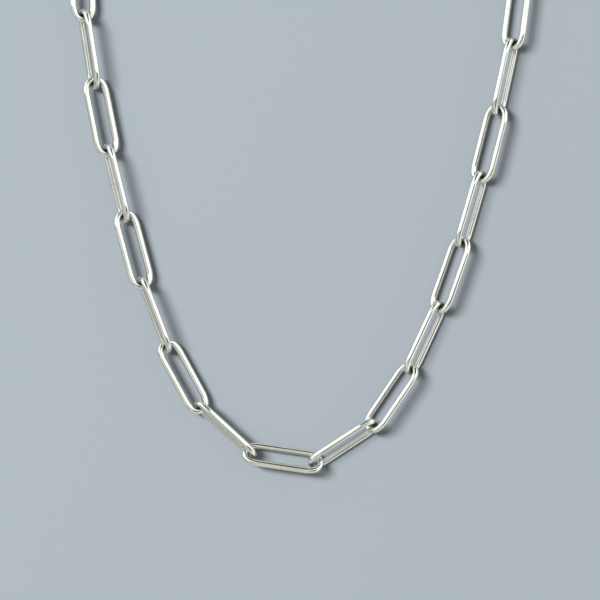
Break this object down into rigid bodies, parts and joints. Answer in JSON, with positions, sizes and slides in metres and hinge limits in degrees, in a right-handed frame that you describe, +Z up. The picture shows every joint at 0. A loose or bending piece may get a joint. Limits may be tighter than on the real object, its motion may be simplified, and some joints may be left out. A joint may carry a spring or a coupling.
{
  "type": "paperclip chain necklace",
  "caption": "Polished silver paperclip chain for the neck: long wire links with rounded ends, every second one standing on its side, closed by jump rings and a clasp and laid flat in a loop.",
  "frame": {"origin": "on the surface that the chain lies on, under the middle of the box round the whole loop", "axes": "+Z up from the surface; +Y along the loop from the front link to the clasp; +X to the right, seen from above with the clasp away from the viewer"},
  "size_m": [0.0736, 0.1736, 0.0046],
  "materials": {
    "links": "polished silver wire",
    "findings": "polished silver, jump rings and clasp"
  },
  "bodies": {
    "root": {"link_front": "links", "link_left_01": "links", "link_left_02": "links", "link_left_03": "links", "link_left_04": "links", "link_left_05": "links", "link_left_06": "links", "link_left_07": "links", "link_left_08": "links", "link_left_09": "links", "link_left_10": "links", "link_left_11": "links", "link_left_12": "links", "link_left_13": "links", "link_left_14": "links", "link_left_15": "links", "link_left_16": "links", "link_left_17": "links", "link_left_18": "links", "link_right_01": "links", "link_right_02": "links", "link_right_03": "links", "link_right_04": "links", "link_right_05": "links", "link_right_06": "links", "link_right_07": "links", "link_right_08": "links", "link_right_09": "links", "link_right_10": "links", "link_right_11": "links", "link_right_12": "links", "link_right_13": "links", "link_right_14": "links", "link_right_15": "links", "link_right_16": "links", "link_right_17": "links", "link_right_18": "links", "ring_left": "findings", "ring_right": "findings", "clasp": "findings"}
  },
  "joints": []
}
